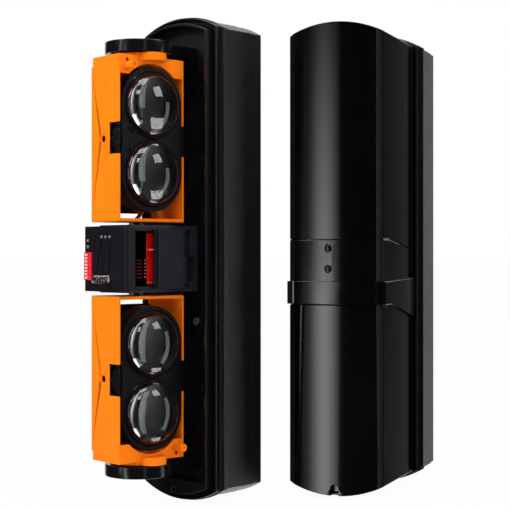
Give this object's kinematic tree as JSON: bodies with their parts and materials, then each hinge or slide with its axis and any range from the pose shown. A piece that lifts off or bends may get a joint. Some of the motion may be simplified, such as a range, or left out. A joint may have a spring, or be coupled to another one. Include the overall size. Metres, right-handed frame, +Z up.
{
  "type": "infrared beam detector set",
  "caption": "Tall wall-mounted infrared beam detector set: an open receiver with turning lens heads and a control box, and a transmitter under its glossy vaulted cover",
  "frame": {"origin": "middle of the set's footprint, at the lowest point of both housings", "axes": "+Z up, the receiver faces -Y and its wall face is +Y, the transmitter stands beside and behind it, turned 22 degrees about Z"},
  "size_m": [0.2046, 0.3748, 0.45],
  "materials": {
    "housing": "black moulded plastic, satin",
    "cover_black": "black moulded plastic, high gloss",
    "seal_rubber": "soft black rubber",
    "frame_orange": "orange moulded plastic, satin",
    "inner_black": "black moulded plastic, matte",
    "side_grey": "dark grey moulded plastic",
    "lens_clear": "clear moulded lens, polished",
    "board_red": "red lacquered circuit board",
    "red_plastic": "red moulded plastic",
    "white_plastic": "white moulded plastic",
    "lamp_lens": "tinted lamp lens",
    "spring_steel": "bright spring wire",
    "screw_steel": "nickel plated steel",
    "insert_brass": "turned brass",
    "window_dark": "smoked window, polished"
  },
  "bodies": {
    "receiver": {"receiver_chassis": "housing", "receiver_wall_plate": "housing", "receiver_seal": "seal_rubber", "receiver_cable_grommet": "seal_rubber", "receiver_pivot_arms": "inner_black", "receiver_arm_screws": "screw_steel", "receiver_bracket": "side_grey", "receiver_control_case": "inner_black", "receiver_control_panel": "inner_black", "receiver_side_plate": "side_grey", "receiver_circuit_board": "board_red", "receiver_connector_block": "red_plastic", "receiver_pin_header": "white_plastic", "receiver_dip_switch": "red_plastic", "receiver_status_lamps": "lamp_lens", "receiver_tamper_switch": "inner_black", "receiver_earth_plate": "inner_black", "receiver_earth_screw": "screw_steel", "receiver_lock_insert": "insert_brass"},
    "dip_slider_1": {"dip_slider_1": "white_plastic"},
    "dip_slider_2": {"dip_slider_2": "white_plastic"},
    "dip_slider_3": {"dip_slider_3": "white_plastic"},
    "dip_slider_4": {"dip_slider_4": "white_plastic"},
    "dip_slider_5": {"dip_slider_5": "white_plastic"},
    "dip_slider_6": {"dip_slider_6": "white_plastic"},
    "dip_slider_7": {"dip_slider_7": "white_plastic"},
    "dip_slider_8": {"dip_slider_8": "white_plastic"},
    "tamper_plunger": {"receiver_tamper_plunger": "white_plastic", "receiver_tamper_spring": "spring_steel"},
    "upper_head": {"upper_head_frame": "frame_orange", "upper_pivot_clips": "inner_black"},
    "upper_optics": {"upper_lens_carrier": "inner_black", "upper_lenses": "lens_clear", "upper_sensor_board": "board_red"},
    "upper_tilt_screw": {"upper_tilt_screw": "frame_orange"},
    "lower_head": {"lower_head_frame": "frame_orange", "lower_pivot_clips": "inner_black"},
    "lower_optics": {"lower_lens_carrier": "inner_black", "lower_lenses": "lens_clear", "lower_sensor_board": "board_red"},
    "lower_tilt_screw": {"lower_tilt_screw": "frame_orange"},
    "transmitter": {"transmitter_chassis": "housing", "transmitter_wall_plate": "housing", "transmitter_seal": "seal_rubber", "transmitter_cable_grommet": "seal_rubber", "transmitter_pivot_arms": "inner_black", "transmitter_bracket": "side_grey", "transmitter_control_case": "inner_black", "transmitter_control_panel": "inner_black", "transmitter_lock_insert": "insert_brass"},
    "transmitter_cover": {"transmitter_cover": "cover_black", "transmitter_cover_band": "cover_black", "transmitter_cover_windows": "window_dark"},
    "transmitter_cover_screw": {"transmitter_cover_screw": "screw_steel"},
    "transmitter_upper_head": {"transmitter_upper_frame": "frame_orange"},
    "transmitter_upper_optics": {"transmitter_upper_carrier": "inner_black", "transmitter_upper_lenses": "lens_clear"},
    "transmitter_lower_head": {"transmitter_lower_frame": "frame_orange"},
    "transmitter_lower_optics": {"transmitter_lower_carrier": "inner_black", "transmitter_lower_lenses": "lens_clear"}
  },
  "joints": [
    {"name": "dip_slider_1_slide", "type": "slide", "parent": "receiver", "child": "dip_slider_1", "axis": [1, 0, 0], "range_m": [0, 0.0025]},
    {"name": "dip_slider_2_slide", "type": "slide", "parent": "receiver", "child": "dip_slider_2", "axis": [1, 0, 0], "range_m": [0, 0.0025]},
    {"name": "dip_slider_3_slide", "type": "slide", "parent": "receiver", "child": "dip_slider_3", "axis": [1, 0, 0], "range_m": [0, 0.0025]},
    {"name": "dip_slider_4_slide", "type": "slide", "parent": "receiver", "child": "dip_slider_4", "axis": [1, 0, 0], "range_m": [0, 0.0025]},
    {"name": "dip_slider_5_slide", "type": "slide", "parent": "receiver", "child": "dip_slider_5", "axis": [1, 0, 0], "range_m": [0, 0.0025]},
    {"name": "dip_slider_6_slide", "type": "slide", "parent": "receiver", "child": "dip_slider_6", "axis": [1, 0, 0], "range_m": [0, 0.0025]},
    {"name": "dip_slider_7_slide", "type": "slide", "parent": "receiver", "child": "dip_slider_7", "axis": [1, 0, 0], "range_m": [0, 0.0025]},
    {"name": "dip_slider_8_slide", "type": "slide", "parent": "receiver", "child": "dip_slider_8", "axis": [1, 0, 0], "range_m": [0, 0.0025]},
    {"name": "tamper_press", "type": "slide", "parent": "receiver", "child": "tamper_plunger", "axis": [0, 1, 0], "range_m": [0, 0.003], "stiffness_N_per_m": 100},
    {"name": "upper_head_pan", "type": "hinge", "parent": "receiver", "child": "upper_head", "pos_m": [-0.04733, -0.13341, 0.33185], "axis": [0, 0, 1], "range_deg": [-176, 4]},
    {"name": "upper_head_tilt", "type": "hinge", "parent": "upper_head", "child": "upper_optics", "pos_m": [-0.03236, -0.13446, 0.33185], "axis": [0.0698, 0.9976, 0], "range_deg": [-10, 10]},
    {"name": "upper_tilt_screw_turn", "type": "hinge", "parent": "upper_head", "child": "upper_tilt_screw", "pos_m": [-0.02431, -0.16269, 0.3956], "axis": [0.9976, -0.0698, 0], "range_deg": [-720, 720]},
    {"name": "lower_head_pan", "type": "hinge", "parent": "receiver", "child": "lower_head", "pos_m": [-0.04733, -0.13341, 0.11815], "axis": [0, 0, 1], "range_deg": [-176, 4]},
    {"name": "lower_head_tilt", "type": "hinge", "parent": "lower_head", "child": "lower_optics", "pos_m": [-0.03236, -0.13446, 0.11815], "axis": [0.0698, 0.9976, 0], "range_deg": [-10, 10]},
    {"name": "lower_tilt_screw_turn", "type": "hinge", "parent": "lower_head", "child": "lower_tilt_screw", "pos_m": [-0.02046, -0.10762, 0.0544], "axis": [0.9976, -0.0698, 0], "range_deg": [-720, 720]},
    {"name": "transmitter_stand", "type": "slide", "parent": "receiver", "child": "transmitter", "axis": [1, 0, 0], "range_m": [0, 0.3]},
    {"name": "cover_pull_off", "type": "slide", "parent": "transmitter", "child": "transmitter_cover", "axis": [0.3746, -0.9272, 0], "range_m": [0, 0.13]},
    {"name": "cover_screw_turn", "type": "hinge", "parent": "transmitter_cover", "child": "transmitter_cover_screw", "pos_m": [0.03865, 0.06496, 0.0108], "axis": [0.3746, -0.9272, 0], "continuous": true},
    {"name": "transmitter_upper_pan", "type": "hinge", "parent": "transmitter", "child": "transmitter_upper_head", "pos_m": [0.03678, 0.06959, 0.33185], "axis": [0, 0, 1], "range_deg": [-90, 90]},
    {"name": "transmitter_upper_tilt", "type": "hinge", "parent": "transmitter_upper_head", "child": "transmitter_upper_optics", "pos_m": [0.04239, 0.05569, 0.33185], "axis": [0.9272, 0.3746, 0], "range_deg": [-10, 10]},
    {"name": "transmitter_lower_pan", "type": "hinge", "parent": "transmitter", "child": "transmitter_lower_head", "pos_m": [0.03678, 0.06959, 0.11815], "axis": [0, 0, 1], "range_deg": [-90, 90]},
    {"name": "transmitter_lower_tilt", "type": "hinge", "parent": "transmitter_lower_head", "child": "transmitter_lower_optics", "pos_m": [0.04239, 0.05569, 0.11815], "axis": [0.9272, 0.3746, 0], "range_deg": [-10, 10]}
  ],
  "couplings": [
    {"joint": "upper_tilt_screw_turn", "follows": "upper_head_tilt", "ratio": 72},
    {"joint": "lower_tilt_screw_turn", "follows": "lower_head_tilt", "ratio": 72}
  ]
}
